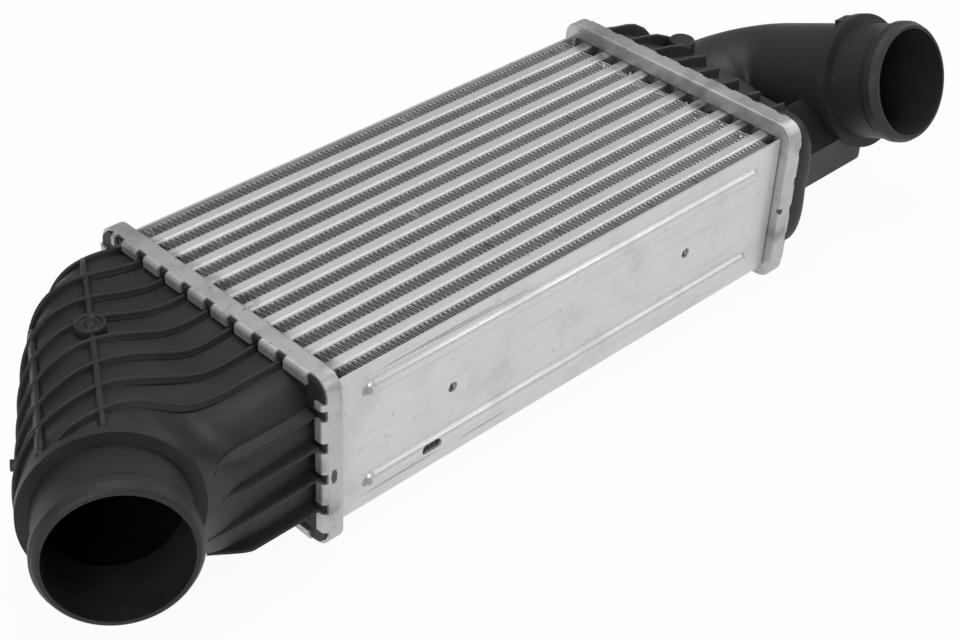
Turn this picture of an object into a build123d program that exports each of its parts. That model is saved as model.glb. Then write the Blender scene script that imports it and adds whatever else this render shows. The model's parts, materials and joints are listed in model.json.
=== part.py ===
from build123d import *
import math
import os

# Plate-and-tube core. The core's middle is the origin while it is drawn.
CORE_LENGTH = 302.0          # between the two header rims, along X
TUBE_COUNT = 10
TUBE_THICK = 6.6             # tube size across the stack, along Y
TUBE_DEPTH = 77.0            # tube size along the cooling air, along Z
TUBE_WALL = 0.45
TUBE_EDGE_R = 1.3            # outer rounding of a tube's four long edges
TUBE_STICK = 1.0             # how far a tube stands through its tube plate
TURBULATOR_SHEET = 0.25
TURBULATOR_PITCH = 7.0
TURBULATOR_SETBACK = 8.0     # from each tube mouth
FIN_HEIGHT = 7.2             # free height between two tubes
FIN_SHEET = 0.2
FIN_PITCH = 5.1
FIN_DEPTH = 75.0
FIN_END_GAP = 6.0            # from each fin row's end to the header rim

# Side plates with two stamped beads
PLATE_SHEET = 1.2
PLATE_HEIGHT = 78.5
PLATE_END_GAP = 0.8
BEAD_OFFSET = 26.0
BEAD_WIDTH = 10.0
BEAD_RISE = 2.4
BEAD_SLOPE = 35              # lean of a bead's sides, in degrees
BEAD_CROWN_R = 3.6           # rounding of a bead's outer shoulders
BEAD_END_GAP = 16.0
PLATE_HOLE_D = 5.5
PLATE_HOLE_SPACING = 162.0
SLOT_HOLE_LENGTH = 12.0
SLOT_HOLE_WIDTH = 5.0
SLOT_HOLE_FROM_END = 55.0

# Header pans, pressed from sheet, with a gasket channel and crimp tabs
PAN_SHEET = 1.4
PAN_FLOOR = 6.0              # tube plate's core face behind the rim's core face
CHANNEL_WIDTH = 5.2
CHANNEL_REACH = 1.9          # pan's inner wall beyond the tubes, along Z
CHANNEL_SIDE_REACH = 0.4     # pan's inner wall beyond the outer fin row, along Y
PAN_CORNER_R = 9.0
PAN_EDGE_R = 1.2
TAB_BEND_R = 2.6
TAB_LONG_PITCH = 16.35
TAB_LONG_COUNT = 8           # slots on each long side
TAB_LONG_SHIFT = -6.1        # slot row's middle from the pan's middle, at the right end
TAB_SHORT_PITCH = 17.4
TAB_SHORT_COUNT = 4
TAB_SHORT_SHIFT = 3.7
TAB_SLOT = 5.6
TAB_REACH = 5.4              # how far the folded tab covers the tank foot
CORNER_NOTCH = 11.0

# Gaskets and tank feet
GASKET_THICK = 2.4
GASKET_SIDE_GAP = 0.3
FOOT_THICK = 6.2
FOOT_SIDE_GAP = 0.25
TUBE_END_GAP = 0.4           # between a tube's mouth and the tank

# Moulded tanks
TANK_WALL = 3.0
BODY_INSET_Y = 1.4           # tank body inside the foot's outline
BODY_INSET_Z = 0.2

# Hose spigots, the same on both tanks
BORE_R = 28.9
BARREL_R = 31.5
BEAD_R = 33.0
BEAD_FLAT = 4.0
BEAD_RAMP = 3.5
BEAD_FROM_MOUTH = 4.0
COLLAR_R = 36.9
COLLAR_THICK = 4.6
COLLAR_FROM_MOUTH = 30.8
LIP_R = 1.0

# Mouth of the inlet spigot: outwards from the rim, along Y, along Z, and its two angles
INLET_OUT = 124.8
INLET_Y = -96.2
INLET_Z = 35.0
INLET_TURN = 60.0            # from the tube direction towards -Y
INLET_TILT = 7.0
# Mouth of the outlet spigot
OUTLET_OUT = 103.2
OUTLET_Y = -82.2
OUTLET_Z = 38.8
OUTLET_TILT = 21.6
OUTLET_STRAIGHT = 85.0       # straight pipe behind the mouth
OUTLET_BEND_R = 35.0
OUTLET_TAIL = 26.0
STRIPES = 20                 # points round each tank section

# Raised details on the outlet tank
OUTLET_BOSS_R = 7.5
OUTLET_BOSS_OUT = 53.0       # from the rim
OUTLET_BOSS_Y = 38.0
OUTLET_BOSS_TOP = 33.5
LUG_WIDTH = 10.0
LUG_RISE = 5.0
LUG_LENGTH = 4.6
LUG_SHIFT = -1.5
WEB_BOTTOM = -17.0
WEB_UPRIGHT = 21.0           # height of the web's upright face
WEB_HEIGHT = 36.0
WEB_NEAR = 21.0              # behind the outlet mouth, along Y
WEB_LEAN = 25.0              # how far the face leans back above the upright part
WEB_DEPTH = 27.0
WEB_PAST_AXIS = 2.0
WEB_CORNER_R = 9.0


def rounded_box(x0, x1, half_y, half_z, corner):
    """Solid with a rounded rectangular section across X."""
    r = max(min(corner, half_y * 0.9, half_z * 0.9), 0.3)
    face = Plane.YZ.offset(x0) * RectangleRounded(2 * half_y, 2 * half_z, r)
    return extrude(face, x1 - x0, dir=(1, 0, 0))


def block(x0, x1, y0, y1, z0, z1):
    """Plain box between two corners."""
    return Pos((x0 + x1) / 2, (y0 + y1) / 2, (z0 + z1) / 2) * Box(abs(x1 - x0), abs(y1 - y0), abs(z1 - z0))


def stack_half():
    """Half of the tube and fin stack's size along Y."""
    return (TUBE_COUNT * TUBE_THICK + (TUBE_COUNT + 1) * FIN_HEIGHT) / 2


RIM = CORE_LENGTH / 2
PAN_WALL_Y = stack_half() + CHANNEL_SIDE_REACH
PAN_WALL_Z = TUBE_DEPTH / 2 + CHANNEL_REACH
PAN_HALF_Y = PAN_WALL_Y + CHANNEL_WIDTH + PAN_SHEET
PAN_HALF_Z = PAN_WALL_Z + CHANNEL_WIDTH + PAN_SHEET
CHANNEL_HALF_Y = PAN_WALL_Y + CHANNEL_WIDTH
CHANNEL_HALF_Z = PAN_WALL_Z + CHANNEL_WIDTH
PLATE_BACK = PAN_FLOOR + PAN_SHEET
FOOT_START = PAN_SHEET + GASKET_THICK
FOOT_END = FOOT_START + FOOT_THICK
TANK_START = PLATE_BACK + TUBE_STICK + TUBE_END_GAP
FOOT_HALF_Y = CHANNEL_HALF_Y - FOOT_SIDE_GAP
FOOT_HALF_Z = CHANNEL_HALF_Z - FOOT_SIDE_GAP
BODY_HALF_Y = PAN_WALL_Y - BODY_INSET_Y
BODY_HALF_Z = PAN_WALL_Z - BODY_INSET_Z


def row_y(index):
    """Middle of the tube with this index, from the +Y side."""
    return stack_half() - FIN_HEIGHT - TUBE_THICK / 2 - index * (TUBE_THICK + FIN_HEIGHT)


def tube_face(inset):
    """Flat tube's section with rounded edges, this far inside its outer surface."""
    return RectangleRounded(TUBE_THICK - 2 * inset, TUBE_DEPTH - 2 * inset, TUBE_EDGE_R - inset)


def tube(index):
    """One flat charge-air tube, open at both ends."""
    half = RIM + PLATE_BACK + TUBE_STICK
    at = Plane((-half, row_y(index), 0), x_dir=(0, 1, 0), z_dir=(1, 0, 0))
    return extrude(at * (tube_face(0) - tube_face(TUBE_WALL)), 2 * half)


def zigzag(length, height, sheet, pitch, closed_depth):
    """Folded strip: runs along the first axis, folds across the second."""
    folds = max(int(length / (pitch / 2)), 2)
    step = length / folds
    lean = sheet * math.hypot(step, height) / step
    side = height / 2
    low = [(-length / 2 + i * step, -side if i % 2 else side - lean) for i in range(folds + 1)]
    high = [(-length / 2 + i * step, -side + lean if i % 2 else side) for i in range(folds + 1)]
    return extrude(make_face(Polyline(*low, *reversed(high), close=True)), closed_depth / 2, both=True)


def fin_row(index):
    """Corrugated cooling fin between two tubes, or between a tube and a side plate."""
    y = stack_half() - FIN_HEIGHT / 2 - index * (TUBE_THICK + FIN_HEIGHT)
    length = CORE_LENGTH - 2 * FIN_END_GAP
    return Pos(0, y, 0) * zigzag(length, FIN_HEIGHT, FIN_SHEET, FIN_PITCH, FIN_DEPTH)


def turbulator(index):
    """Folded sheet inside a tube, which stirs the charge air."""
    depth = TUBE_DEPTH - 2 * (TUBE_EDGE_R + TUBE_WALL)
    height = TUBE_THICK - 2 * TUBE_WALL
    length = 2 * (RIM + PLATE_BACK + TUBE_STICK - TURBULATOR_SETBACK)
    strip = zigzag(depth, height, TURBULATOR_SHEET, TURBULATOR_PITCH, length)
    return Pos(0, row_y(index), 0) * Rot(0, 90, 0) * strip


def side_plate(side):
    """Stamped sheet that closes the fin stack; side is -1 near and 1 far."""
    face_y = stack_half()
    half = RIM - PLATE_END_GAP
    lo, hi = sorted((side * face_y, side * (face_y + PLATE_SHEET)))
    plate = block(-half, half, lo, hi, -PLATE_HEIGHT / 2, PLATE_HEIGHT / 2)
    bead_half = half - BEAD_END_GAP
    for z in (-BEAD_OFFSET, BEAD_OFFSET):
        at = Plane((0, side * face_y, z), x_dir=(1, 0, 0), z_dir=(0, side, 0))
        rise = PLATE_SHEET + BEAD_RISE
        hump = extrude(at * SlotOverall(2 * bead_half, BEAD_WIDTH), rise, taper=BEAD_SLOPE)
        crown = hump.faces().sort_by(Axis.Y)[-1 if side > 0 else 0]
        hump = fillet(crown.edges(), BEAD_CROWN_R)
        inner = SlotOverall(2 * bead_half - 2 * PLATE_SHEET, BEAD_WIDTH - 2 * PLATE_SHEET)
        hollow = extrude(at * inner, BEAD_RISE, taper=BEAD_SLOPE)
        plate = plate + hump - hollow
    for x in (-PLATE_HOLE_SPACING / 2, PLATE_HOLE_SPACING / 2):
        plate -= Pos(x, side * face_y, 0) * Rot(90, 0, 0) * Cylinder(PLATE_HOLE_D / 2, 6 * PLATE_SHEET)
    at = Plane((-half + SLOT_HOLE_FROM_END, side * face_y, -BEAD_OFFSET), x_dir=(1, 0, 0), z_dir=(0, side, 0))
    cut = SlotOverall(SLOT_HOLE_LENGTH, min(SLOT_HOLE_WIDTH, BEAD_WIDTH - 2 * PLATE_SHEET))
    return plate - extrude(at * cut, 4 * (PLATE_SHEET + BEAD_RISE), both=True)


def slot_rows():
    """Slot middles along the long sides and along the short sides of the right pan."""
    n, m = TAB_LONG_COUNT, TAB_SHORT_COUNT
    long_row = [TAB_LONG_SHIFT + TAB_LONG_PITCH * (i - (n - 1) / 2) for i in range(n)]
    short_row = [TAB_SHORT_SHIFT + TAB_SHORT_PITCH * (i - (m - 1) / 2) for i in range(m)]
    return long_row, short_row


def pan():
    """Header pan drawn for the right end with the rim's core face at X = 0."""
    r = PAN_CORNER_R
    fold = FOOT_END + PAN_SHEET
    body = rounded_box(0, fold, PAN_HALF_Y, PAN_HALF_Z, r)
    body = fillet(body.faces().sort_by(Axis.X)[-1].edges(), TAB_BEND_R)
    body = fillet(body.faces().sort_by(Axis.X)[0].edges(), PAN_EDGE_R)
    # room for the tank foot and the gasket, then the window the tank body passes
    body -= rounded_box(PAN_SHEET, FOOT_END, CHANNEL_HALF_Y, CHANNEL_HALF_Z, r - PAN_SHEET)
    window_y = CHANNEL_HALF_Y + PAN_SHEET - TAB_REACH
    window_z = CHANNEL_HALF_Z + PAN_SHEET - TAB_REACH
    body -= rounded_box(PAN_SHEET, 2 * fold, window_y, window_z, r - PAN_SHEET)
    # pressed tube plate with the wall that closes the gasket channel
    inner_r = max(r - PAN_SHEET - CHANNEL_WIDTH, 1.0)
    cup = rounded_box(0, PLATE_BACK, PAN_WALL_Y, PAN_WALL_Z, inner_r)
    dish = rounded_box(0, PAN_FLOOR, PAN_WALL_Y - PAN_SHEET, PAN_WALL_Z - PAN_SHEET, inner_r)
    body = body + cup - dish
    for i in range(TUBE_COUNT):
        at = Plane((0, row_y(i), 0), x_dir=(0, 1, 0), z_dir=(1, 0, 0))
        body -= extrude(at * tube_face(0), 2 * PLATE_BACK)
    # slots that part the crimp tabs, and open corners
    long_row, short_row = slot_rows()
    x0, x1 = FOOT_END - TAB_BEND_R / 2, 2 * fold
    for s in (-1, 1):
        for y in long_row:
            z0, z1 = sorted((s * window_z * 0.9, s * 2 * PAN_HALF_Z))
            body -= block(x0, x1, y - TAB_SLOT / 2, y + TAB_SLOT / 2, z0, z1)
        for z in short_row:
            y0, y1 = sorted((s * window_y * 0.9, s * 2 * PAN_HALF_Y))
            body -= block(x0, x1, y0, y1, z - TAB_SLOT / 2, z + TAB_SLOT / 2)
        for t in (-1, 1):
            y0, y1 = sorted((s * (PAN_HALF_Y - CORNER_NOTCH), s * 2 * PAN_HALF_Y))
            z0, z1 = sorted((t * (PAN_HALF_Z - CORNER_NOTCH), t * 2 * PAN_HALF_Z))
            body -= block(x0, x1, y0, y1, z0, z1)
    return body


def at_end(shape, side):
    """Puts a piece drawn for the right end at the right end, or turned round at the left."""
    placed = Pos(RIM, 0, 0) * shape
    return placed if side > 0 else Rot(0, 0, 180) * placed


def gasket():
    """Rubber ring in the pan's channel."""
    y, z, r = CHANNEL_HALF_Y - GASKET_SIDE_GAP, CHANNEL_HALF_Z - GASKET_SIDE_GAP, PAN_CORNER_R - PAN_SHEET
    ring = rounded_box(PAN_SHEET, FOOT_START, y, z, r)
    y, z = PAN_WALL_Y + GASKET_SIDE_GAP, PAN_WALL_Z + GASKET_SIDE_GAP
    return ring - rounded_box(0, 2 * FOOT_START, y, z, max(r - CHANNEL_WIDTH, 1.0))


def foot():
    """Tank foot: a ring in the channel under a flat land, open in the middle."""
    r = PAN_CORNER_R - PAN_SHEET - FOOT_SIDE_GAP
    ring = rounded_box(FOOT_START, FOOT_END, FOOT_HALF_Y, FOOT_HALF_Z, r)
    y, z = PAN_WALL_Y + FOOT_SIDE_GAP, PAN_WALL_Z + FOOT_SIDE_GAP
    ring -= rounded_box(0, TANK_START, y, z, max(r - CHANNEL_WIDTH, 1.0))
    return ring - rounded_box(0, 2 * FOOT_END, BODY_HALF_Y - TANK_WALL, BODY_HALF_Z - TANK_WALL, 4.0)


def blend(heights, f):
    """Smooth curve through five evenly spaced heights."""
    x = min(max(f, 0.0), 1.0) * 4
    i = min(int(x), 3)
    t = x - i
    slope = []
    for k in (i, i + 1):
        a, b = heights[max(k - 1, 0)], heights[min(k + 1, 4)]
        slope.append((b - a) / (2 if 0 < k < 4 else 1))
    h0, h1 = heights[i], heights[i + 1]
    low = (2 * t ** 3 - 3 * t ** 2 + 1) * h0 + (t ** 3 - 2 * t ** 2 + t) * slope[0]
    return low + (3 * t ** 2 - 2 * t ** 3) * h1 + (t ** 3 - t ** 2) * slope[1]


def section_wire(left, right, middle, tops, bottoms, power, lean, grow):
    """Closed curve that stands on the plan line from left to right."""
    dx, dy = right[0] - left[0], right[1] - left[1]
    width = math.hypot(dx, dy)
    ex, ey = dx / width, dy / width
    cx, cy = (left[0] + right[0]) / 2, (left[1] + right[1]) / 2
    points = []
    for k in range(STRIPES):
        a = 2 * math.pi * (k + 0.5) / STRIPES
        c, s = math.cos(a), math.sin(a)
        rho = (abs(c) ** power + abs(s) ** power) ** (-1 / power)
        along, up = rho * c, rho * abs(s)
        f = 0.5 + along / 2
        if s >= 0:
            z = (blend(tops, f) - middle + grow) * up
        else:
            z = -(middle - blend(bottoms, f) + grow) * up
        run = along * (width / 2 + grow)
        tip = z * math.tan(math.radians(lean))
        points.append((cx + ex * run + ey * tip, cy + ey * run - ex * tip, middle + z))
    return Wire([Edge.make_spline([Vector(*p) for p in points], periodic=True)])


def spigot_frame(out, y, z, turn, tilt, side):
    """Mouth plane of a spigot; its normal points out of the mouth."""
    a, e = math.radians(turn), math.radians(tilt)
    direction = (side * math.cos(e) * math.cos(a), -math.cos(e) * math.sin(a), math.sin(e))
    return Plane((side * (RIM + out), y, z), z_dir=direction)


def spigot_profile():
    """Half section of barrel, hose bead and collar; Z runs back from the mouth as negative."""
    crest = -BEAD_FROM_MOUTH
    back = crest - BEAD_FLAT
    face = -COLLAR_FROM_MOUTH
    end = face - COLLAR_THICK
    points = [(BORE_R, 0), (BARREL_R - LIP_R, 0), (BARREL_R, -LIP_R), (BEAD_R, crest), (BEAD_R, back)]
    points += [(BARREL_R, back - BEAD_RAMP), (BARREL_R, face), (COLLAR_R, face), (COLLAR_R, end)]
    points += [(BARREL_R, end), (BORE_R, end)]
    return make_face(Polyline(*points, close=True))


def spigot(frame):
    """Barrel with its bead and collar, standing on a mouth plane."""
    turned = revolve(Plane.XZ * spigot_profile(), Axis.Z)
    return frame.location * turned


def axis_point(frame, back):
    """Point on the spigot's axis, this far behind the mouth."""
    return frame.origin - frame.z_dir * back


# Inlet tank stations. Left run and right run go from the foot to the collar along each side, the
# outs push the side outwards, and tops and bottoms go from the foot's height (0) to the collar's (1).
INLET_STATIONS = [
    (0.048, 8.78, 0.167, -1.04, 0.0, 7.0, (0.21, 0.02, -0.02, -0.04, 0.09), 0.02),
    (0.169, 21.16, 0.331, -2.24, 0.02, 6.0, (0.37, 0.26, 0.11, -0.03, 0.1), 0.04),
    (0.329, 24.95, 0.468, -3.11, 0.07, 5.0, (0.4, 0.48, 0.41, 0.09, -0.01), 0.11),
    (0.52, 21.58, 0.592, -3.82, 0.25, 4.2, (0.37, 0.65, 0.63, 0.22, -0.15), 0.23),
    (0.707, 14.69, 0.717, -3.83, 0.48, 3.4, (0.56, 0.76, 0.83, 0.45, 0.05), 0.46),
    (0.874, 8.56, 0.859, -2.53, 0.76, 2.6, (0.88, 0.98, 1.01, 0.87, 0.67), 0.72),
]


def inlet_sections(frame, grow):
    """Section curves of the inlet tank from its foot to its collar."""
    start = -(RIM + TANK_START)
    end_radius = BARREL_R + 0.5
    centre = axis_point(frame, COLLAR_FROM_MOUTH + COLLAR_THICK / 2)
    a = math.radians(INLET_TURN)
    left_a, left_b = (start, BODY_HALF_Y), (centre.X - end_radius * math.sin(a), centre.Y + end_radius * math.cos(a))
    right_a, right_b = (start, -BODY_HALF_Y), (centre.X + end_radius * math.sin(a), centre.Y - end_radius * math.cos(a))
    top_a, top_b = BODY_HALF_Z, centre.Z + end_radius
    low_a, low_b = -BODY_HALF_Z, centre.Z - end_radius
    wires = [section_wire(left_a, right_a, 0, [top_a] * 5, [low_a] * 5, 7.0, 0, grow)]

    def along(p, q, run, out, sign):
        dx, dy = q[0] - p[0], q[1] - p[1]
        size = math.hypot(dx, dy)
        return (p[0] + dx * run + sign * out * dy / size, p[1] + dy * run - sign * out * dx / size)

    for run_l, out_l, run_r, out_r, mid, power, tops, low in INLET_STATIONS:
        left = along(left_a, left_b, run_l, out_l, 1)
        right = along(right_a, right_b, run_r, out_r, -1)
        heights = [top_a + (top_b - top_a) * t for t in tops]
        depth = low_a + (low_b - low_a) * low
        middle = centre.Z * mid
        lean = -INLET_TILT * mid
        wires.append(section_wire(left, right, middle, heights, [depth] * 5, power, lean, grow))
    lean = -INLET_TILT
    wires.append(section_wire(left_b, right_b, centre.Z, [top_b] * 5, [low_b] * 5, 2.0, lean, grow))
    return wires


def loft_solid(wires):
    """Smooth solid through closed curves."""
    return Solid.make_loft(wires)


def inlet_tank():
    """Left tank, one moulding with its foot, duct and spigot."""
    frame = spigot_frame(INLET_OUT, INLET_Y, INLET_Z, INLET_TURN, INLET_TILT, -1)
    shell = loft_solid(inlet_sections(frame, 0)) - loft_solid(inlet_sections(frame, -TANK_WALL))
    return shell + at_end(foot(), -1) + spigot(frame)


# Outlet plenum stations: out from the tank's start, insets of the far and near ends, drop of the top,
# rise of the bottom, and the roundness of the section.
OUTLET_STATIONS = [
    (0.0, 0.0, 0.0, 0.6, 1.4, 7.0),
    (15.2, 0.0, -2.2, 4.0, 0.0, 9.0),
    (21.7, 0.5, -1.8, 6.3, -0.4, 9.0),
    (32.2, 1.0, 17.0, 10.0, 1.6, 6.0),
    (46.2, 4.0, 50.0, 15.5, 7.0, 4.5),
    (58.2, 14.0, 72.0, 25.5, 16.0, 3.0),
]


def outlet_plenum(grow):
    """Wedge-shaped body behind the right pan."""
    start = RIM + TANK_START
    wires = []
    for out, far_in, near_in, drop, rise, power in OUTLET_STATIONS:
        left = (start + out, BODY_HALF_Y - far_in)
        right = (start + out, -BODY_HALF_Y + near_in)
        top = [BODY_HALF_Z - drop] * 5
        low = [-BODY_HALF_Z + rise] * 5
        wires.append(section_wire(left, right, (top[0] + low[0]) / 2, top, low, power, 0, grow))
    return loft_solid(wires)


def outlet_pipe(frame, radius):
    """Round pipe from behind the collar, round the bend and into the plenum."""
    axis = frame.z_dir
    p0 = axis_point(frame, COLLAR_FROM_MOUTH + COLLAR_THICK / 2)
    p1 = axis_point(frame, OUTLET_STRAIGHT)
    x = Vector(1, 0, 0)
    centre = p1 - x * OUTLET_BEND_R
    middle = centre + (x - axis) * (OUTLET_BEND_R / math.sqrt(2))
    p2 = centre - axis * OUTLET_BEND_R
    p3 = p2 - x * OUTLET_TAIL
    path = Wire([Edge.make_line(p0, p1), Edge.make_three_point_arc(p1, middle, p2), Edge.make_line(p2, p3)])
    return sweep(Plane(p0, z_dir=axis * -1) * Circle(radius), path=path)


def outlet_web(start, end, near):
    """Gusset under the elbow, from the plenum to below the collar."""
    low, back = WEB_BOTTOM, near + WEB_DEPTH
    outline = [(near, low), (near, low + WEB_UPRIGHT), (near + WEB_LEAN, low + WEB_HEIGHT)]
    outline += [(back, low + WEB_HEIGHT), (back, low)]
    web = extrude(Plane.YZ.offset(start) * make_face(Polyline(*outline, close=True)), end - start)
    corner = web.edges().filter_by(Axis.Z).sort_by(lambda e: e.center().X - e.center().Y)[-1]
    return fillet(corner, WEB_CORNER_R)


def outlet_tank():
    """Right tank, one moulding with its foot, elbow, spigot and the web under its collar."""
    frame = spigot_frame(OUTLET_OUT, OUTLET_Y, OUTLET_Z, 90, OUTLET_TILT, 1)
    start = RIM + FOOT_END
    body = outlet_plenum(0) + outlet_pipe(frame, BARREL_R)
    body += outlet_web(start, frame.origin.X + WEB_PAST_AXIS, frame.origin.Y + WEB_NEAR)
    boss = Pos(RIM + OUTLET_BOSS_OUT, OUTLET_BOSS_Y, OUTLET_BOSS_TOP / 2) * Cylinder(OUTLET_BOSS_R, OUTLET_BOSS_TOP)
    body += fillet(boss.edges().sort_by(Axis.Z)[-1], OUTLET_BOSS_R / 4)
    body -= outlet_plenum(-TANK_WALL)
    body -= outlet_pipe(frame, BORE_R)
    lug_back = COLLAR_FROM_MOUTH + COLLAR_THICK + LUG_LENGTH / 2
    lug_middle = BARREL_R + LUG_RISE / 2 - TANK_WALL / 4
    lug = Pos(LUG_SHIFT, lug_middle, -lug_back) * Box(LUG_WIDTH, LUG_RISE + TANK_WALL / 2, LUG_LENGTH)
    upright = Plane(frame.origin, x_dir=(1, 0, 0), z_dir=frame.z_dir)
    return body + at_end(foot(), 1) + spigot(frame) + upright.location * lug


def single(shape):
    """The one solid of a result, without slivers."""
    return max(shape.solids(), key=lambda s: s.volume)


def build_nodes():
    """Every piece by name, drawn about the core's middle."""
    nodes = {}
    for i in range(TUBE_COUNT):
        nodes[f"tube_{i + 1:02d}"] = tube(i)
        nodes[f"turbulator_{i + 1:02d}"] = turbulator(i)
    for i in range(TUBE_COUNT + 1):
        nodes[f"fin_row_{i + 1:02d}"] = fin_row(i)
    nodes["side_plate_near"] = side_plate(-1)
    nodes["side_plate_far"] = side_plate(1)
    header = pan()
    nodes["header_pan_inlet"] = at_end(header, -1)
    nodes["header_pan_outlet"] = at_end(header, 1)
    ring = gasket()
    nodes["gasket_inlet"] = at_end(ring, -1)
    nodes["gasket_outlet"] = at_end(ring, 1)
    nodes["inlet_tank"] = inlet_tank()
    nodes["outlet_tank"] = outlet_tank()
    return nodes


def export_all():
    """Moves the whole part so that it rests on Z = 0 about the middle of its outline."""
    nodes = build_nodes()
    boxes = [shape.bounding_box() for shape in nodes.values()]
    low = [min(getattr(b.min, k) for b in boxes) for k in "XYZ"]
    high = [max(getattr(b.max, k) for b in boxes) for k in "XYZ"]
    shift = Pos(-(low[0] + high[0]) / 2, -(low[1] + high[1]) / 2, -low[2])
    os.makedirs("parts", exist_ok=True)
    for name, shape in nodes.items():
        export_step(shift * single(shape), f"parts/{name}.step")
        print(name, round(single(shape).volume / 1000, 2), len(shape.solids()))
    print("size", [round(h - l, 2) for l, h in zip(low, high)])
    print("shift", [round(v, 3) for v in (-(low[0] + high[0]) / 2, -(low[1] + high[1]) / 2, -low[2])])


export_all()
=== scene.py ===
import json
import math
import random

import bpy
from mathutils import Matrix, Vector
from mathutils.bvhtree import BVHTree


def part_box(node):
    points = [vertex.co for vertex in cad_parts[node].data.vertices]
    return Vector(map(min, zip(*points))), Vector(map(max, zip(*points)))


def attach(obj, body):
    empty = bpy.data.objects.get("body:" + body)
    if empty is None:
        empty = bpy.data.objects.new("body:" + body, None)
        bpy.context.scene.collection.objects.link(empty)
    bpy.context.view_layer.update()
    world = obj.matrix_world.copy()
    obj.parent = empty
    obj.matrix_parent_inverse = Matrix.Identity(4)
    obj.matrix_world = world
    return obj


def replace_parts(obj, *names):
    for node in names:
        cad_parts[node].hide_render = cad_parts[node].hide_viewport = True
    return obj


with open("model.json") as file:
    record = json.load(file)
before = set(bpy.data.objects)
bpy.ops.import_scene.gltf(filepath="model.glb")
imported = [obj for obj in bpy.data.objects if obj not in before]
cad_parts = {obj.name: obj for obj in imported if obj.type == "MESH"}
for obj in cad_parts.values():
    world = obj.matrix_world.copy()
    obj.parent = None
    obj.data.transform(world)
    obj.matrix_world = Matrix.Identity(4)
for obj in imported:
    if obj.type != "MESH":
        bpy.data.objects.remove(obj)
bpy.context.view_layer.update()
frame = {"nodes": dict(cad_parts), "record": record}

# ---------------------------------------------------------------------------------------------
# Flat charge-air tubes: extruded and brazed aluminium, seen edge on in the core's open faces. The
# braze oven leaves them pale and satin, with faint lengthwise streaks and a few dull marks.
MM = 0.001
LIGHT_ALUMINIUM = (0.62, 0.62, 0.62, 1)
DULL_ALUMINIUM = (0.40, 0.40, 0.405, 1)
SOOT = (0.05, 0.05, 0.052, 1)
CORE = (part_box("side_plate_near")[0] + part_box("side_plate_far")[1]) / 2


def at_core(x, y, z):
    """A place given in millimetres from the core's middle."""
    return CORE + Vector((x, y, z)) * MM


def effect_group(name, inputs, outputs):
    """An empty node group with named sockets; colours are four numbers, directions three."""
    group = bpy.data.node_groups.new(name, "ShaderNodeTree")
    for way, sockets in (("INPUT", inputs), ("OUTPUT", outputs)):
        for label, value in sockets.items():
            size = len(value) if isinstance(value, tuple) else 1
            kind = {1: "NodeSocketFloat", 3: "NodeSocketVector", 4: "NodeSocketColor"}[size]
            socket = group.interface.new_socket(label, in_out=way, socket_type=kind)
            socket.default_value = value
    return group, group.nodes.new("NodeGroupInput"), group.nodes.new("NodeGroupOutput")


def put(tree, kind, settings=None, **wires):
    """A node with its settings; each wire is a value or another node's output socket."""
    node = tree.nodes.new(kind)
    for key, value in (settings or {}).items():
        setattr(node, key, value)
    for key, value in wires.items():
        socket = node.inputs[int(key[1:])] if key[0] == "i" and key[1:].isdigit() else node.inputs[key]
        if isinstance(value, bpy.types.NodeSocket):
            tree.links.new(value, socket)
        else:
            socket.default_value = value
    return node


def fade(tree, value, low, high):
    """Zero below low, one above high, smooth between."""
    settings = {"interpolation_type": "SMOOTHSTEP"}
    return put(tree, "ShaderNodeMapRange", settings, Value=value, i1=low, i2=high).outputs["Result"]


def mixed(tree, share, first, second):
    """Colour mix from first to second."""
    return put(tree, "ShaderNodeMix", {"data_type": "RGBA"}, i0=share, i6=first, i7=second).outputs[2]


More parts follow.
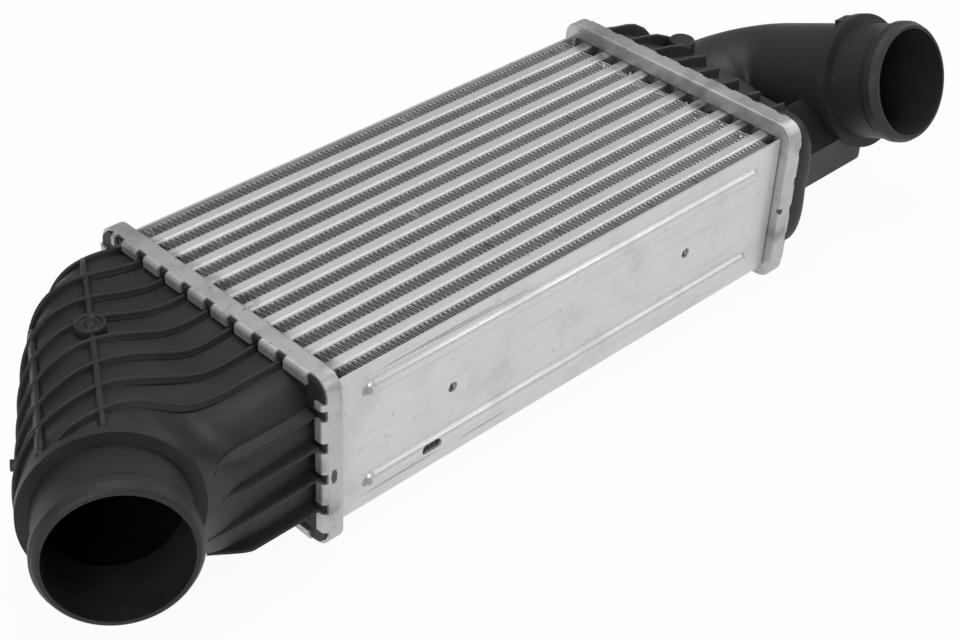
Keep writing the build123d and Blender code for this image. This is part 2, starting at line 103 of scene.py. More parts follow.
def sheet_wear():
    """Streaks, stains, specks and fine grain of handled aluminium sheet."""
    inputs = {"Colour": LIGHT_ALUMINIUM, "Stain Colour": DULL_ALUMINIUM, "Speck Colour": SOOT,
              "Streak Size": (12.0, 420.0, 420.0), "Stain": 0.35, "Specks": 0.3,
              "Soot Start": 1.0, "Soot Reach": 0.012, "Smooth": 0.28, "Rough": 0.46}
    outputs = {"Colour": LIGHT_ALUMINIUM, "Roughness": 0.4, "Height": 0.0}
    tree, start, end = effect_group("sheet_wear", inputs, outputs)
    of = start.outputs
    place = put(tree, "ShaderNodeTexCoord").outputs["Object"]
    run = put(tree, "ShaderNodeMapping", Vector=place, Scale=of["Streak Size"]).outputs[0]
    streak = put(tree, "ShaderNodeTexNoise", Vector=run, Scale=1.0, Detail=4.0).outputs[0]
    cloud = put(tree, "ShaderNodeTexNoise", Vector=place, Scale=34.0, Detail=6.0, Roughness=0.62).outputs[0]
    patch = put(tree, "ShaderNodeTexNoise", Vector=place, Scale=110.0, Detail=4.0).outputs[0]
    grain = put(tree, "ShaderNodeTexNoise", Vector=place, Scale=2600.0, Detail=2.0).outputs[0]
    dots = put(tree, "ShaderNodeTexNoise", Vector=place, Scale=420.0, Detail=2.0).outputs[0]
    haze = fade(tree, cloud, 0.46, 0.72)
    line = fade(tree, streak, 0.50, 0.78)
    both = put(tree, "ShaderNodeMath", {"operation": "MAXIMUM"}, i0=haze, i1=line).outputs[0]
    share = put(tree, "ShaderNodeMath", {"operation": "MULTIPLY"}, i0=both, i1=of["Stain"]).outputs[0]
    tone = mixed(tree, share, of["Colour"], of["Stain Colour"])
    near = fade(tree, patch, 0.54, 0.66)
    spot = fade(tree, dots, 0.63, 0.69)
    seen = put(tree, "ShaderNodeMath", {"operation": "MULTIPLY"}, i0=spot, i1=near).outputs[0]
    dirt = put(tree, "ShaderNodeMath", {"operation": "MULTIPLY"}, i0=seen, i1=of["Specks"]).outputs[0]
    # oven soot gathers where the tubes meet the headers, this far from the core's middle
    across = put(tree, "ShaderNodeSeparateXYZ", Vector=place).outputs[0]
    off = put(tree, "ShaderNodeMath", {"operation": "SUBTRACT"}, i0=across, i1=CORE.x).outputs[0]
    away = put(tree, "ShaderNodeMath", {"operation": "ABSOLUTE"}, i0=off).outputs[0]
    ragged = put(tree, "ShaderNodeMath", {"operation": "MULTIPLY_ADD"}, i0=patch, i1=0.02, i2=away).outputs[0]
    begin = of["Soot Start"]
    edge = put(tree, "ShaderNodeMath", {"operation": "ADD"}, i0=begin, i1=of["Soot Reach"]).outputs[0]
    smooth = {"interpolation_type": "SMOOTHSTEP"}
    rise = put(tree, "ShaderNodeMapRange", smooth, Value=ragged, i1=begin, i2=edge, i4=0.8).outputs[0]
    mottle = put(tree, "ShaderNodeMapRange", Value=patch, i1=0.35, i2=0.6, i3=0.35, i4=1.0).outputs[0]
    soot = put(tree, "ShaderNodeMath", {"operation": "MULTIPLY"}, i0=rise, i1=mottle).outputs[0]
    sooty = mixed(tree, soot, tone, of["Speck Colour"])
    tree.links.new(mixed(tree, dirt, sooty, of["Speck Colour"]), end.inputs["Colour"])
    mean = put(tree, "ShaderNodeMath", {"operation": "MULTIPLY_ADD"}, i0=streak, i1=0.5, i2=0.0).outputs[0]
    blotch = put(tree, "ShaderNodeMath", {"operation": "MULTIPLY_ADD"}, i0=cloud, i1=0.5, i2=mean).outputs[0]
    even = put(tree, "ShaderNodeMapRange", Value=blotch, i1=0.3, i2=0.7, i3=of["Smooth"], i4=of["Rough"])
    tree.links.new(even.outputs[0], end.inputs["Roughness"])
    fine = put(tree, "ShaderNodeMath", {"operation": "MULTIPLY_ADD"}, i0=grain, i1=0.35, i2=streak).outputs[0]
    tree.links.new(fine, end.inputs["Height"])
    return tree


SHEET_WEAR = sheet_wear()


def sheet_material(name, metallic, bump, **values):
    """Bare aluminium sheet with its own wear values."""
    material = bpy.data.materials.new(name)
    material.use_nodes = True
    tree = material.node_tree
    shader = tree.nodes["Principled BSDF"]
    wear = put(tree, "ShaderNodeGroup", {"node_tree": SHEET_WEAR})
    for label, value in values.items():
        wear.inputs[label.replace("_", " ")].default_value = value
    shader.inputs["Metallic"].default_value = metallic
    tree.links.new(wear.outputs["Colour"], shader.inputs["Base Color"])
    tree.links.new(wear.outputs["Roughness"], shader.inputs["Roughness"])
    relief = put(tree, "ShaderNodeBump", Strength=bump, Distance=0.0002, Height=wear.outputs["Height"])
    tree.links.new(relief.outputs[0], shader.inputs["Normal"])
    return material


def finish_node(name, material, angle=35.0):
    """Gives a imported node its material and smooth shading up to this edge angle."""
    node = frame["nodes"][name]
    node.data.materials.clear()
    node.data.materials.append(material)
    node.data.polygons.foreach_set("use_smooth", [True] * len(node.data.polygons))
    node.data.set_sharp_from_angle(angle=math.radians(angle))
    return node


TUBES = sorted(n for n in frame["nodes"] if n.startswith("tube_"))
tube_finish = sheet_material("brazed_tube", 0.6, 0.25, Stain=0.25, Specks=0.35,
                             Soot_Start=0.147, Soot_Reach=0.014, Smooth=0.34, Rough=0.48)
for tube in TUBES:
    finish_node(tube, tube_finish)

# ---------------------------------------------------------------------------------------------
# Turbulators: folded aluminium strips pushed into the tubes before brazing. Only their ends show,
# through the tube mouths inside the tanks, so they share a duller sheet finish.
turbulator_finish = sheet_material("turbulator_strip", 0.85, 0.2,
                                   Colour=DULL_ALUMINIUM, Stain=0.3, Rough=0.55)
for name in sorted(frame["nodes"]):
    if name.startswith("turbulator_"):
        finish_node(name, turbulator_finish)

# ---------------------------------------------------------------------------------------------
# Cooling fins: thin aluminium strip folded into a tight wave, with louvres cut into its walls, and
# brazed between the tubes by its crests. A few folds at the row ends are bent and catch the light.
FIN_WAVE = 2.79 * MM
FIN_STOCK = 0.12 * MM
CREST_HALF = 0.42 * MM
CREST_DROP = 0.30 * MM
LOUVRE_STEP = 0.75 * MM
LOUVRE_LEAN = 0.28 * MM
LOUVRES = 5
# Shares of a wave at which a wall's two points stand, then how far folds bend and sway in millimetres,
# how many folds count as a row's end, and the shares of folds that are bent there and elsewhere.
WALL_START, WALL_END = 0.21, 0.29
BEND, SWAY = 0.5, 0.05
END_FOLDS = 3
END_BENT_SHARE = 0.5
BENT_SHARE = 0.035
FIN_ALUMINIUM = (0.49, 0.49, 0.50, 1)
FIN_SHADE = (0.34, 0.34, 0.35, 1)


def mesh_piece(name, points, faces, material, slot, smooth=True):
    """A mesh that rides with the part and takes the given finish; the slot is not used."""
    mesh = bpy.data.meshes.new(name)
    mesh.from_pydata([tuple(p) for p in points], [], faces)
    mesh.validate()
    mesh.polygons.foreach_set("use_smooth", [smooth] * len(mesh.polygons))
    mesh.materials.append(material)
    piece = bpy.data.objects.new(name, mesh)
    bpy.context.scene.collection.objects.link(piece)
    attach(piece, "root")
    return piece


def fold_path(low, high, draw):
    """Middle line of one folded strip in plan: three points on each crest, then two down its wall,
    each with the sideways push of a bent fold."""
    length = high.x - low.x
    waves = round(length / FIN_WAVE)
    step = length / waves
    top = high.y - FIN_STOCK / 2
    bottom = low.y + FIN_STOCK / 2
    path = []
    for i in range(waves):
        x = low.x + (i + 0.25) * step
        share = END_BENT_SHARE if min(i, waves - 1 - i) < END_FOLDS else BENT_SHARE
        bend = draw.uniform(-BEND, BEND) * MM if draw.random() < share else 0.0
        sway = draw.uniform(-SWAY, SWAY) * MM
        brow = top - CREST_DROP
        path += [(x - CREST_HALF, brow, 0), (x, top, 0), (x + CREST_HALF, brow, 0)]
        path += [(x + step * WALL_START + sway, (top * 2 + bottom) / 3, bend)]
        path += [(x + step * WALL_END + sway, (top + bottom * 2) / 3, bend)]
        x += step / 2
        brow = bottom + CREST_DROP
        path += [(x - CREST_HALF, brow, 0), (x, bottom, 0), (x + CREST_HALF, brow, 0)]
        path += [(x + step * WALL_START + sway, (top + bottom * 2) / 3, bend)]
        path += [(x + step * WALL_END + sway, (top * 2 + bottom) / 3, bend)]
    return path[:-2]


def fin_strip(node, number, material):
    """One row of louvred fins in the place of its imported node."""
    low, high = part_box(node)
    path = fold_path(low, high, random.Random(40 + number))
    heights = [high.z - i * LOUVRE_STEP for i in range(LOUVRES + 1)]
    heights += [low.z + i * LOUVRE_STEP for i in range(LOUVRES, -1, -1)]
    leans = ([0] + [LOUVRE_LEAN * (1 if i % 2 else -1) for i in range(1, LOUVRES)] + [0]) * 2
    points, faces = [], []
    count = len(path)
    for level, (z, lean) in enumerate(zip(heights, leans)):
        at_face = level in (0, len(heights) - 1)
        for k, (x, y, bend) in enumerate(path):
            before, after = path[max(k - 1, 0)], path[min(k + 1, count - 1)]
            along = Vector((after[0] - before[0], after[1] - before[1], 0)).normalized()
            across = Vector((-along.y, along.x, 0)) * FIN_STOCK / 2
            on_wall = k % 5 > 2
            shift = (lean if on_wall else 0.0) + (bend if at_face else 0.0)
            middle = Vector((min(max(x + shift, low.x + FIN_STOCK), high.x - FIN_STOCK), y, z))
            points += [middle + across, middle - across]
    row = 2 * count
    for level in range(len(heights) - 1):
        a, b = level * row, (level + 1) * row
        for k in range(count - 1):
            i = 2 * k
            faces.append((a + i, a + i + 2, b + i + 2, b + i))
            faces.append((a + i + 1, b + i + 1, b + i + 3, a + i + 3))
        faces.append((a, b, b + 1, a + 1))
        i = 2 * (count - 1)
        faces.append((a + i, a + i + 1, b + i + 1, b + i))
    last = (len(heights) - 1) * row
    for k in range(count - 1):
        i = 2 * k
        faces.append((i, i + 1, i + 3, i + 2))
        faces.append((last + i, last + i + 2, last + i + 3, last + i + 1))
    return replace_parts(mesh_piece(f"louvred_{node}", points, faces, material, "fin"), node)


fin_finish = sheet_material("louvred_fin", 0.75, 0.1, Colour=FIN_ALUMINIUM, Stain_Colour=FIN_SHADE,
                            Stain=0.5, Specks=0.1, Streak_Size=(300.0, 300.0, 60.0), Smooth=0.34, Rough=0.5)
for number, node in enumerate(sorted(n for n in frame["nodes"] if n.startswith("fin_row_"))):
    fin_strip(node, number, fin_finish)

# Fin tips knocked flat beside the right header: their bare faces catch the lamps. Each is a small
# tilted slab, given by its place in the core's open face in millimetres.
BENT_TIPS = ((139.9, 40.6), (141.4, 41.9), (144.9, 25.6), (146.0, 26.6), (144.6, -14.6), (143.0, -15.4),
             (135.6, -28.4), (141.0, -41.6), (139.3, -55.8), (143.2, -56.8))
TIP_LONG, TIP_WIDE, TIP_THICK = 1.1, 0.7, 0.12
TIP_TWIST = 0.25
TIP_SINK = 0.3
TIP_LEVEL = 36.9
tip_points, tip_faces = [], []
for number, (x, y) in enumerate(BENT_TIPS):
    twist = random.Random(90 + number).uniform(-TIP_TWIST, TIP_TWIST)
    along = Vector((math.cos(twist), math.sin(twist), 0))
    down = Vector((0.15 * twist, 0.68, 0.60)) * TIP_WIDE
    thick = Vector((0, -0.7, 0.7)) * TIP_THICK
    corner = Vector((x, y - TIP_SINK, TIP_LEVEL))
    base = len(tip_points)
    for lift in (Vector(), thick):
        for a, b in ((0, 0), (1, 0), (1, 1), (0, 1)):
            tip_points.append(at_core(*(corner + along * TIP_LONG * a + down * b + lift)))
    for face in ((0, 3, 2, 1), (4, 5, 6, 7), (0, 1, 5, 4), (1, 2, 6, 5), (2, 3, 7, 6), (3, 0, 4, 7)):
        tip_faces.append(tuple(base + i for i in face))
bare_fin = sheet_material("bare_fin_tip", 0.9, 0.05, Stain=0.1, Specks=0.0, Smooth=0.2, Rough=0.3)
mesh_piece("bent_fin_tips", tip_points, tip_faces, bare_fin, "fin", smooth=False)

# ---------------------------------------------------------------------------------------------
# Side plates: stamped aluminium sheet with two long beads and locating holes, brazed on the outer
# fin rows. The near one is scuffed along its beads and stained by handling.
PLATE_ALUMINIUM = (0.64, 0.64, 0.64, 1)
SMUDGE_GREY = (0.33, 0.33, 0.33, 1)
SCUFF_GREY = (0.38, 0.38, 0.38, 1)
plate_finish = sheet_material("stamped_side_plate", 0.6, 0.3, Colour=PLATE_ALUMINIUM, Stain=0.35, Specks=0.35,
                              Streak_Size=(14.0, 260.0, 260.0), Smooth=0.3, Rough=0.46)
for name in ("side_plate_near", "side_plate_far"):
    finish_node(name, plate_finish, angle=25.0)


def dab_mask():
    """Mask of one dab or rub mark about its centre, with a ragged edge."""
    inputs = {"Centre": (0.0, 0.0, 0.0), "Stretch": (400.0, 400.0, 400.0)}
    tree, start, end = effect_group("dab_mask", inputs, {"Mask": 0.0})
    of = start.outputs
    place = put(tree, "ShaderNodeTexCoord").outputs["Object"]
    off = put(tree, "ShaderNodeVectorMath", {"operation": "SUBTRACT"}, i0=place, i1=of["Centre"]).outputs[0]
    sized = put(tree, "ShaderNodeVectorMath", {"operation": "MULTIPLY"}, i0=off, i1=of["Stretch"]).outputs[0]
    far = put(tree, "ShaderNodeVectorMath", {"operation": "LENGTH"}, i0=sized).outputs[1]
    fray = put(tree, "ShaderNodeTexNoise", Vector=place, Scale=900.0, Detail=2.0).outputs[0]
    rim = put(tree, "ShaderNodeMath", {"operation": "MULTIPLY_ADD"}, i0=fray, i1=0.9, i2=far).outputs[0]
    mask = put(tree, "ShaderNodeMapRange", Value=rim, i1=1.25, i2=1.5, i3=1.0, i4=0.0).outputs[0]
    tree.links.new(mask, end.inputs["Mask"])
    return tree


DAB_MASK = dab_mask()


def add_dabs(material, colour, dabs):
    """Lays dabs of one colour over a material: each has a place and how tightly it is drawn in."""
    tree = material.node_tree
    shader = tree.nodes["Principled BSDF"]
    tone = shader.inputs["Base Color"].links[0].from_socket
    for spot, stretch in dabs:
        dab = put(tree, "ShaderNodeGroup", {"node_tree": DAB_MASK})
        dab.inputs["Centre"].default_value = at_core(*spot)
        dab.inputs["Stretch"].default_value = stretch
        tone = mixed(tree, dab.outputs["Mask"], tone, colour)
    tree.links.new(tone, shader.inputs["Base Color"])


# Rubbed grey smudges on the near beads' ends, and long scuffs beside the beads.
add_dabs(plate_finish, SMUDGE_GREY, (((-133.5, -77.0, 26), (400.0, 30.0, 360.0)),
                                     ((-133.5, -77.0, -26), (400.0, 30.0, 360.0))))
add_dabs(plate_finish, SCUFF_GREY, (((-66, -76.0, 32.6), (28.0, 30.0, 1500.0)),
                                    ((-78, -76.0, 34.1), (36.0, 30.0, 1700.0)),
                                    ((-104, -76.0, 33.4), (42.0, 30.0, 1500.0)),
                                    ((-112, -76.0, -32.8), (40.0, 30.0, 1400.0)),
                                    ((-60, -76.0, -33.6), (55.0, 30.0, 1700.0))))

# ---------------------------------------------------------------------------------------------
# Header pans: pressed aluminium trays brazed onto the tube ends. Their rims are folded over the tank
# feet in short tabs, which leaves small nicks, dark specks and a blunt sheen on the bends.
HEADER_ALUMINIUM = (0.48, 0.48, 0.48, 1)
HEADER_SMUT = (0.18, 0.18, 0.18, 1)
INK = (0.07, 0.07, 0.10, 1)
header_finish = sheet_material("crimped_header", 0.7, 0.5, Colour=HEADER_ALUMINIUM, Stain_Colour=HEADER_SMUT,
                               Stain=0.7, Specks=1.0, Streak_Size=(60.0, 60.0, 60.0), Smooth=0.32, Rough=0.52)
for name in ("header_pan_inlet", "header_pan_outlet"):
    finish_node(name, header_finish, angle=40.0)

# Two dabs of marker ink on the near rims, one on each header.
add_dabs(header_finish, INK, (((151.7, -79.6, -2.8), (560.0, 400.0, 520.0)),
                              ((-156.6, -79.6, -5.5), (520.0, 400.0, 250.0))))

# ---------------------------------------------------------------------------------------------
# Gaskets: black rubber rings squeezed between the tank feet and the header channels. They show only
# as a dark line in the slots between the tabs.
BLACK_RUBBER = (0.012, 0.012, 0.012, 1)
RUBBER_BLOOM = (0.03, 0.03, 0.03, 1)
gasket_finish = bpy.data.materials.new("gasket_rubber")
gasket_finish.use_nodes = True
tree = gasket_finish.node_tree
rubber = tree.nodes["Principled BSDF"]
rubber.inputs["Roughness"].default_value = 0.75
place = put(tree, "ShaderNodeTexCoord").outputs["Object"]
bloom = put(tree, "ShaderNodeTexNoise", Vector=place, Scale=220.0, Detail=3.0).outputs[0]
tree.links.new(mixed(tree, bloom, BLACK_RUBBER, RUBBER_BLOOM), rubber.inputs["Base Color"])
for name in ("gasket_inlet", "gasket_outlet"):
    finish_node(name, gasket_finish)

# ---------------------------------------------------------------------------------------------
# Inlet tank: one black glass-filled nylon moulding, crimped into the left header, that turns and
# narrows into the hose spigot. Thin ribs cross its outside to stiffen it against boost pressure.
BLACK_NYLON = (0.0135, 0.0137, 0.014, 1)
SCUFFED_NYLON = (0.024, 0.0242, 0.025, 1)
TANK_EDGE_ANGLE = 32.0


def moulding_grain():
    """Fine spark-eroded grain with flow marks and light scuffs of a nylon moulding."""
    inputs = {"Colour": BLACK_NYLON, "Scuff Colour": SCUFFED_NYLON, "Scuffs": 0.5, "Grain Size": 2400.0,
              "Smooth": 0.40, "Rough": 0.58}
    outputs = {"Colour": BLACK_NYLON, "Roughness": 0.5, "Height": 0.0}
    tree, start, end = effect_group("moulding_grain", inputs, outputs)
    of = start.outputs
    place = put(tree, "ShaderNodeTexCoord").outputs["Object"]
    grain = put(tree, "ShaderNodeTexNoise", Vector=place, Scale=of["Grain Size"], Detail=2.0).outputs[0]
    flow = put(tree, "ShaderNodeTexNoise", Vector=place, Scale=26.0, Detail=5.0, Distortion=0.6).outputs[0]
    fine = put(tree, "ShaderNodeTexNoise", Vector=place, Scale=700.0, Detail=3.0).outputs[0]
    haze = fade(tree, flow, 0.42, 0.72)
    share = put(tree, "ShaderNodeMath", {"operation": "MULTIPLY"}, i0=haze, i1=of["Scuffs"]).outputs[0]
    speck = fade(tree, fine, 0.70, 0.74)
    dust = put(tree, "ShaderNodeMath", {"operation": "MULTIPLY"}, i0=speck, i1=of["Scuffs"]).outputs[0]
    all_wear = put(tree, "ShaderNodeMath", {"operation": "MAXIMUM"}, i0=share, i1=dust).outputs[0]
    tree.links.new(mixed(tree, all_wear, of["Colour"], of["Scuff Colour"]), end.inputs["Colour"])
    even = put(tree, "ShaderNodeMapRange", Value=flow, i1=0.3, i2=0.7, i3=of["Smooth"], i4=of["Rough"])
    tree.links.new(even.outputs[0], end.inputs["Roughness"])
    tree.links.new(grain, end.inputs["Height"])
    return tree


MOULDING_GRAIN = moulding_grain()


def nylon_material(name, **values):
    """Black moulded nylon with its own scuffs."""
    material = bpy.data.materials.new(name)
    material.use_nodes = True
    tree = material.node_tree
    shader = tree.nodes["Principled BSDF"]
    shader.inputs["Specular IOR Level"].default_value = 0.32
    grain = put(tree, "ShaderNodeGroup", {"node_tree": MOULDING_GRAIN})
    for label, value in values.items():
        grain.inputs[label.replace("_", " ")].default_value = value
    tree.links.new(grain.outputs["Colour"], shader.inputs["Base Color"])
    tree.links.new(grain.outputs["Roughness"], shader.inputs["Roughness"])
    relief = put(tree, "ShaderNodeBump", Strength=0.7, Distance=0.0001, Height=grain.outputs["Height"])
    tree.links.new(relief.outputs[0], shader.inputs["Normal"])
    return material


tank_finish = nylon_material("tank_nylon")
finish_node("inlet_tank", tank_finish, angle=TANK_EDGE_ANGLE)

# The ribs' section: height, half width, the flare of their feet and how deep these lie in the wall.
RIB_RISE = 3.0 * MM
RIB_HALF = 1.05 * MM
RIB_FLARE = 1.1 * MM
RIB_ROOT = 0.5 * MM
# Where the cross ribs stand along the header, in millimetres from the core's middle.
RIB_COUNT = 8
RIB_FIRST = 63.3
RIB_PITCH = 16.35
# Beyond this distance from the core's middle a rib's end is free and runs out low.
HEADER_REACH = 164.5 * MM
RUN_OUT_LOW, RUN_OUT_STEP = 0.35, 0.3


def surface_of(name):
    """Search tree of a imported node's surface."""
    mesh = frame["nodes"][name].data
    return BVHTree.FromPolygons([v.co for v in mesh.vertices], [tuple(p.vertices) for p in mesh.polygons])


def rib_mesh(rows):
    """Points and faces of one rib from its rows, closed at both ends."""
    points, faces = [], []
    wide = len(rows[0])
    for row in rows:
        points += row
    for r in range(len(rows) - 1):
        for k in range(wide):
            a, b = r * wide + k, r * wide + (k + 1) % wide
            faces.append((a, b, b + wide, a + wide))
    faces.append(tuple(range(wide - 1, -1, -1)))
    last = (len(rows) - 1) * wide
    faces.append(tuple(range(last, last + wide)))
    return points, faces


def rib_row(foot, up, side, rise, half):
    """Cross-section of a rib: a flared foot in the wall, drafted sides and a rounded crest."""
    right = [(half * 0.45, rise), (half * 0.86, 0.88 * rise), (half, 0.45 * rise),
             (half + 0.45 * RIB_FLARE, 0.16 * rise), (half + RIB_FLARE, -RIB_ROOT)]
    outline = [(-w, h) for w, h in reversed(right)] + right
    return [foot + side * w + up * h for w, h in outline]


def runs_of(samples, least=4):
    """Splits samples at the gaps and keeps the longer runs."""
    runs, run = [], []
    for sample in samples + [None]:
        if sample is None:
            if len(run) >= least:
                runs.append(run)
            run = []
        else:
            run.append(sample)
    return runs


def draped_rib(surface, rays, side, rise, half, keep):
    """A rib of even height laid over a surface where the rays meet it, low at its free ends."""
    samples = []
    for start, aim in rays:
        hit, normal, _, _ = surface.ray_cast(start, aim)
        if hit is None or not keep(hit):
            samples.append(None)
            continue
        if normal.dot(aim) > 0:
            normal = -normal
        up = (normal - side * normal.dot(side)).normalized()
        samples.append((hit, up))
    pieces = []
    for run in runs_of(samples):
        rows = []
        for i, (hit, up) in enumerate(run):
            near = [run[j][1] for j in range(max(i - 2, 0), min(i + 3, len(run)))]
            even = sum(near, Vector()).normalized()
            low = 1.0
            for end, steps in ((run[0][0], i), (run[-1][0], len(run) - 1 - i)):
                if abs(end.x - CORE.x) > HEADER_REACH:
                    low = min(low, RUN_OUT_LOW + RUN_OUT_STEP * steps)
            rows.append(rib_row(hit, even, side, rise * low, half))
        pieces.append(rib_mesh(rows))
    return pieces


def joined(pieces):
    """One list of points and faces from several."""
    points, faces = [], []
    for more, their in pieces:
        base = len(points)
        points += more
        faces += [tuple(base + i for i in face) for face in their]
    return points, faces


# The ribs stop at the spigot's collar, this far behind the spigot's mouth, and at the header's face.
inlet_mouth = Vector(frame["record"]["mounts"][0]["pos_m"])
inlet_axis = Vector(frame["record"]["mounts"][0]["axis"]).normalized()
COLLAR_BACK = 31.0 * MM
HEADER_FACE = -161.1
inlet_surface = surface_of("inlet_tank")
inlet_ribs = []


def clear_of_collar(hit):
    """True where a rib may stand on the inlet tank."""
    return (hit - inlet_mouth).dot(inlet_axis) < -COLLAR_BACK and hit.x < at_core(HEADER_FACE, 0, 0).x


# Cross ribs run round the tank from the header's upper edge to its lower edge. Rays find the wall from
# straight above, then in a fan about a point inside the tank, then from straight below.
LEDGE_INSET = 0.3
FAN_RAYS = 76
FAN_STEP = 2.4
RAY_START = 0.3
for k in range(RIB_COUNT):
    y = RIB_FIRST - RIB_PITCH * k
    heart = at_core(-168 - 3.6 * k, y, 4 + 0.6 * k)
    ledge = at_core(HEADER_FACE - LEDGE_INSET, y, 4 + 0.6 * k)
    steps = 5 + 2 * k
    flat = [ledge.lerp(heart, i / steps) for i in range(steps)]
    lift = Vector((0, 0, RAY_START))
    rays = [(place + lift, Vector((0, 0, -1))) for place in flat]
    for i in range(FAN_RAYS):
        turn = math.radians(90 + FAN_STEP * i)
        out = Vector((math.cos(turn), 0, math.sin(turn)))
        rays.append((heart + out * RAY_START, -out))
    rays += [(place - lift, Vector((0, 0, 1))) for place in reversed(flat)]
    inlet_ribs += draped_rib(inlet_surface, rays, Vector((0, 1, 0)), RIB_RISE, RIB_HALF, clear_of_collar)

# Two wider ribs run aslant across the others, from the far corner towards the collar. Each is given by
# two points in plan, and its rays start a little before the first and end a little past the second.
SLANTED_RIBS = (((-181.5, 63), (-258.6, -66.8)), ((-210.2, 63), (-286.4, -66.8)))
SLANTED_RISE = RIB_RISE * 0.92
SLANTED_HALF = 1.3 * MM
SLANTED_STEPS = 90
for first, last in SLANTED_RIBS:
    line = Vector((last[0] - first[0], last[1] - first[1], 0)).normalized()
    side = Vector((-line.y, line.x, 0))
    rays = []
    for i in range(SLANTED_STEPS + 1):
        t = -0.08 + 1.1 * i / SLANTED_STEPS
        over = at_core(first[0] + (last[0] - first[0]) * t, first[1] + (last[1] - first[1]) * t, 150)
        rays.append((over, Vector((0, 0, -1))))
    inlet_ribs += draped_rib(inlet_surface, rays, side, SLANTED_RISE, SLANTED_HALF, clear_of_collar)

# Straight ribs along the near wall. Where the wall bends away their crests keep one plane, until they
# are as tall as each may be, and they run out low before the collar. Each has its height on the wall,
# how far it reaches from the header and its greatest rise, in millimetres.
NEAR_RIBS = ((28.9, 62, 5.5), (12.6, 66, 8.5), (-4.65, 62, 8.5), (-22.5, 56, 6.0))
NEAR_STEP = 1.35
NEAR_FADE_STEPS = 12
LEAST_PROUD, MOST_PROUD = 0.2 * MM, 20 * MM
near_crest = at_core(0, -77.6, 0).y
for z, reach, most in NEAR_RIBS:
    samples = []
    for i in range(int(reach / NEAR_STEP)):
        start = at_core(HEADER_FACE - NEAR_STEP * i, -150, z)
        hit = inlet_surface.ray_cast(start, Vector((0, 1, 0)))[0]
        proud = hit.y - near_crest if hit is not None else 0
        fine = LEAST_PROUD < proud < MOST_PROUD and clear_of_collar(hit)
        samples.append((hit, proud) if fine else None)
    for run in runs_of(samples):
        rows = []
        for i, (hit, proud) in enumerate(run):
            ease = min((len(run) - 1 - i) / NEAR_FADE_STEPS, 1.0)
            tall = min(proud, most * MM) * (0.1 + 0.9 * ease * ease * (3 - 2 * ease))
            foot = hit + Vector((0, RIB_ROOT, 0))
            rows.append(rib_row(foot, Vector((0, -1, 0)), Vector((0, 0, 1)), tall + RIB_ROOT, RIB_HALF))
        inlet_ribs.append(rib_mesh(rows))
mesh_piece("inlet_tank_ribs", *joined(inlet_ribs), tank_finish, "tank")


def turned(profile, centre, axis, steps=48):
    """Points and faces of a closed profile of (radius, height) turned about an axis."""
    spin = axis.to_track_quat("Z", "Y").to_matrix()
    points, faces = [], []
    count = len(profile)
    for i in range(steps):
        a = 2 * math.pi * i / steps
        for r, h in profile:
            points.append(centre + spin @ Vector((r * math.cos(a), r * math.sin(a), h)) * MM)
    for i in range(steps):
        for k in range(count - 1):
            a, b = i * count + k, ((i + 1) % steps) * count + k
            faces.append((a, b, b + 1, a + 1))
    return points, faces


# A low round boss marks the first slanted rib, and a short peg stands on the far wall. Their profiles
# are pairs of radius and height in millimetres.
BOSS = ((0.01, -6), (6.9, -6), (6.7, 0), (6.55, 0.35), (6.2, 0.5), (5.5, 0.5), (5.2, 0.3), (5.1, -0.9),
        (4.8, -1.1), (2.6, -1.1), (2.3, -0.9), (2.2, -0.2), (1.9, 0.0), (0.01, 0.0))
PEG = ((0.01, -7), (2.6, -7), (2.5, 1.6), (2.2, 2.0), (0.01, 2.0))
boss = turned(BOSS, at_core(-215, 7, 57), Vector((0, 0, 1)))
mesh_piece("inlet_tank_boss", *boss, tank_finish, "tank")
peg = turned(PEG, at_core(-274, -23.5, 33), Vector((-0.87, 0.5, 0.1)), steps=24)
mesh_piece("inlet_tank_peg", *peg, tank_finish, "tank")

# ---------------------------------------------------------------------------------------------
# Outlet tank: the matching black nylon moulding on the right, a wedge-shaped plenum that feeds an
# elbow and the second hose spigot. Short ribs fall away from its header edge.
# The outlet tank's nylon and scuff colours are painted lighter than the inlet tank's, a painted brightening
# that stands in for light on the elbow and collar; both mouldings are the same black nylon.
OUTLET_NYLON_PAINTED_LIGHTER = (0.0185, 0.0187, 0.019, 1)
OUTLET_SCUFF_PAINTED_LIGHTER = (0.03, 0.0302, 0.031, 1)
outlet_painted_lighter_finish = nylon_material("outlet_nylon_painted_lighter", Colour=OUTLET_NYLON_PAINTED_LIGHTER, Scuff_Colour=OUTLET_SCUFF_PAINTED_LIGHTER)
finish_node("outlet_tank", outlet_painted_lighter_finish, angle=TANK_EDGE_ANGLE)
outlet_surface = surface_of("outlet_tank")

# Where the ribs start and end, and their crest lines as pairs of distance and height, all in
# millimetres from the core's middle. The first rib has a crest line of its own.
OUTLET_RIB_START = 162.6
OUTLET_RIB_ENDS = (208, 213, 207, 196, 187.5, 184, 182.5, 182)
LEAST_TALL = 0.3 * MM
LONG_CREST = ((161, 44.0), (173, 41.0), (182, 39.4), (193, 36.5), (204, 31.2), (211, 25.6), (216, 20.0))
OUTER_CREST = ((161, 44.0), (177, 40.2), (185, 38.8), (192, 36.6), (200, 31.7), (205, 26.6), (209, 20.5))


def crest_height(line, x):
    """Height on a crest line at this distance from the core's middle."""
    for (x0, z0), (x1, z1) in zip(line, line[1:]):
        if x <= x1:
            return z0 + (z1 - z0) * (x - x0) / (x1 - x0)
    return line[-1][1]


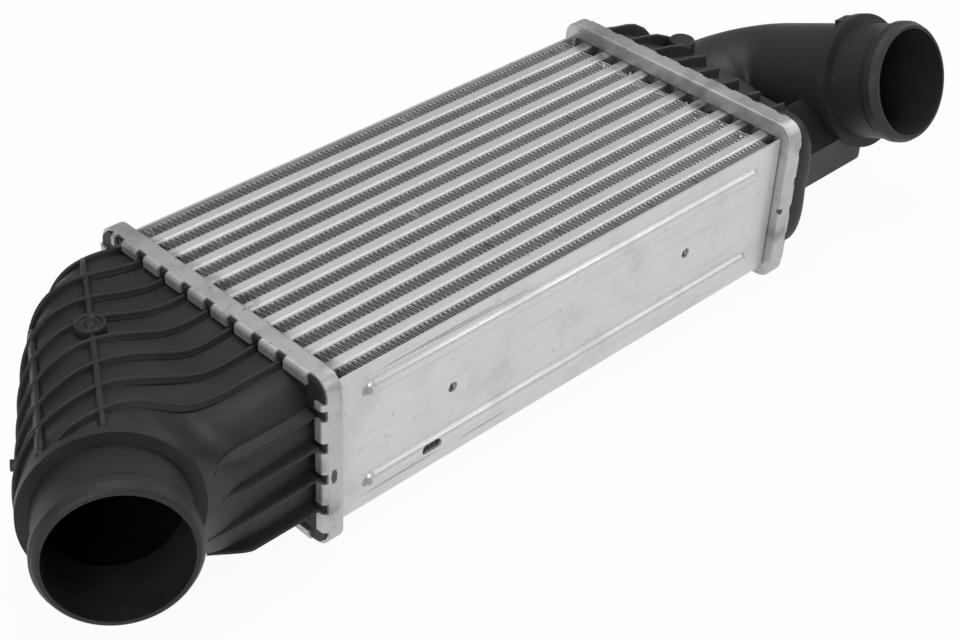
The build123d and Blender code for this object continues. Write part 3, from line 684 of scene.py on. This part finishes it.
outlet_ribs = []
for k, end in enumerate(OUTLET_RIB_ENDS):
    y = RIB_FIRST - RIB_PITCH * k
    crest_line = LONG_CREST if k else OUTER_CREST
    for way in (1, -1):
        samples = []
        for i in range(int(end - OUTLET_RIB_START) + 1):
            x = OUTLET_RIB_START + i
            hit = outlet_surface.ray_cast(at_core(x, y, 140 * way), Vector((0, 0, -way)))[0]
            crest = at_core(0, 0, way * crest_height(crest_line, x)).z
            tall = (crest - hit.z) * way if hit is not None else 0
            if way < 0:
                tall = min(tall, RIB_RISE)
            samples.append((hit, tall) if tall > LEAST_TALL else None)
        for run in runs_of(samples):
            rows = []
            for hit, tall in run:
                foot = hit - Vector((0, 0, RIB_ROOT * way))
                rows.append(rib_row(foot, Vector((0, 0, way)), Vector((0, 1, 0)), tall + RIB_ROOT, RIB_HALF))
            outlet_ribs.append(rib_mesh(rows))
mesh_piece("outlet_tank_ribs", *joined(outlet_ribs), outlet_painted_lighter_finish, "tank")

# ---------------------------------------------------------------------------------------------
# Studio: a plain pale floor, soft lamps overhead and to the sides, and the photograph's viewpoint.
FLOOR_HALF = 6.0
FLOOR_DROP = 0.2 * MM
FLOOR_PAINT = (0.7, 0.7, 0.7, 1)
FLOOR_GLOW = 0.95
WORLD_LIGHT = 0.33
WHITE = (1, 1, 1, 1)
floor_mesh = bpy.data.meshes.new("studio_floor")
corners = [(x * FLOOR_HALF, y * FLOOR_HALF, 0) for x, y in ((-1, -1), (1, -1), (1, 1), (-1, 1))]
floor_mesh.from_pydata(corners, [], [(0, 1, 2, 3)])
floor = bpy.data.objects.new("studio_floor", floor_mesh)
bpy.context.scene.collection.objects.link(floor)
floor.location.z = -FLOOR_DROP
floor_finish = bpy.data.materials.new("pale_floor")
floor_finish.use_nodes = True
tree = floor_finish.node_tree
tree.nodes.remove(tree.nodes["Principled BSDF"])
paint = put(tree, "ShaderNodeBsdfDiffuse", Color=FLOOR_PAINT).outputs[0]
glow = put(tree, "ShaderNodeEmission", Color=WHITE, Strength=1.0).outputs[0]
path = put(tree, "ShaderNodeLightPath").outputs
seen = put(tree, "ShaderNodeMath", {"operation": "MAXIMUM"},
           i0=path["Is Camera Ray"], i1=path["Is Glossy Ray"])
share = put(tree, "ShaderNodeMath", {"operation": "MULTIPLY"}, i0=seen.outputs[0], i1=FLOOR_GLOW).outputs[0]
both = put(tree, "ShaderNodeMixShader", i0=share, i1=paint, i2=glow).outputs[0]
tree.links.new(both, tree.nodes["Material Output"].inputs["Surface"])
floor_mesh.materials.append(floor_finish)

world = bpy.data.worlds.new("studio")
bpy.context.scene.world = world
world.use_nodes = True
tree = world.node_tree
tree.nodes.clear()
path = put(tree, "ShaderNodeLightPath").outputs
seen = put(tree, "ShaderNodeMath", {"operation": "MAXIMUM"},
           i0=path["Is Camera Ray"], i1=path["Is Transmission Ray"])
dim = put(tree, "ShaderNodeBackground", Color=WHITE, Strength=WORLD_LIGHT).outputs[0]
white = put(tree, "ShaderNodeBackground", Color=WHITE, Strength=1.0).outputs[0]
both = put(tree, "ShaderNodeMixShader", i0=seen.outputs[0], i1=dim, i2=white).outputs[0]
tree.links.new(both, put(tree, "ShaderNodeOutputWorld").inputs["Surface"])


def softbox(name, place, aim, size, watts):
    """A square area lamp at a place, turned to a point."""
    lamp = bpy.data.lights.new(name, "AREA")
    lamp.size = size
    lamp.energy = watts
    box = bpy.data.objects.new(name, lamp)
    box.location = place
    box.rotation_euler = (Vector(aim) - Vector(place)).to_track_quat("-Z", "Y").to_euler()
    bpy.context.scene.collection.objects.link(box)


softbox("overhead", (0.1, 0.25, 1.5), (0.05, 0, 0), 1.1, 10.5)
softbox("left_front", (-1.2, -0.7, 0.9), (-0.1, 0, 0.05), 0.6, 12.0)
softbox("right_front", (0.95, -0.95, 0.95), (0, 0, 0.05), 0.7, 4.0)
softbox("right_side", (1.25, 0.0, 0.8), (0.22, 0, 0.06), 0.6, 4.0)

# The camera stands where the photograph's lens stood, found from the core's corners and spigots.
YAW, PITCH, ROLL = math.radians(43.90), math.radians(36.66), math.radians(2.88)
LENS, SENSOR = 68.24, 36.0
LENS_PLACE = (-536.02, -526.58, 516.24)
camera_data = bpy.data.cameras.new("photo_view")
camera_data.sensor_width = SENSOR
camera_data.lens = LENS
camera_data.clip_start = 10 * MM
camera = bpy.data.objects.new("photo_view", camera_data)
bpy.context.scene.collection.objects.link(camera)
ahead = Vector((math.cos(YAW) * math.cos(PITCH), math.sin(YAW) * math.cos(PITCH), -math.sin(PITCH)))
right = Vector((math.sin(YAW), -math.cos(YAW), 0))
above = right.cross(ahead)
level_right = right * math.cos(ROLL) + above * math.sin(ROLL)
level_above = above * math.cos(ROLL) - right * math.sin(ROLL)
turn = Matrix((level_right, level_above, -ahead)).transposed().to_4x4()
camera.matrix_world = Matrix.Translation(at_core(*LENS_PLACE)) @ turn
bpy.context.scene.camera = camera

bpy.context.scene.view_settings.view_transform = "Standard"
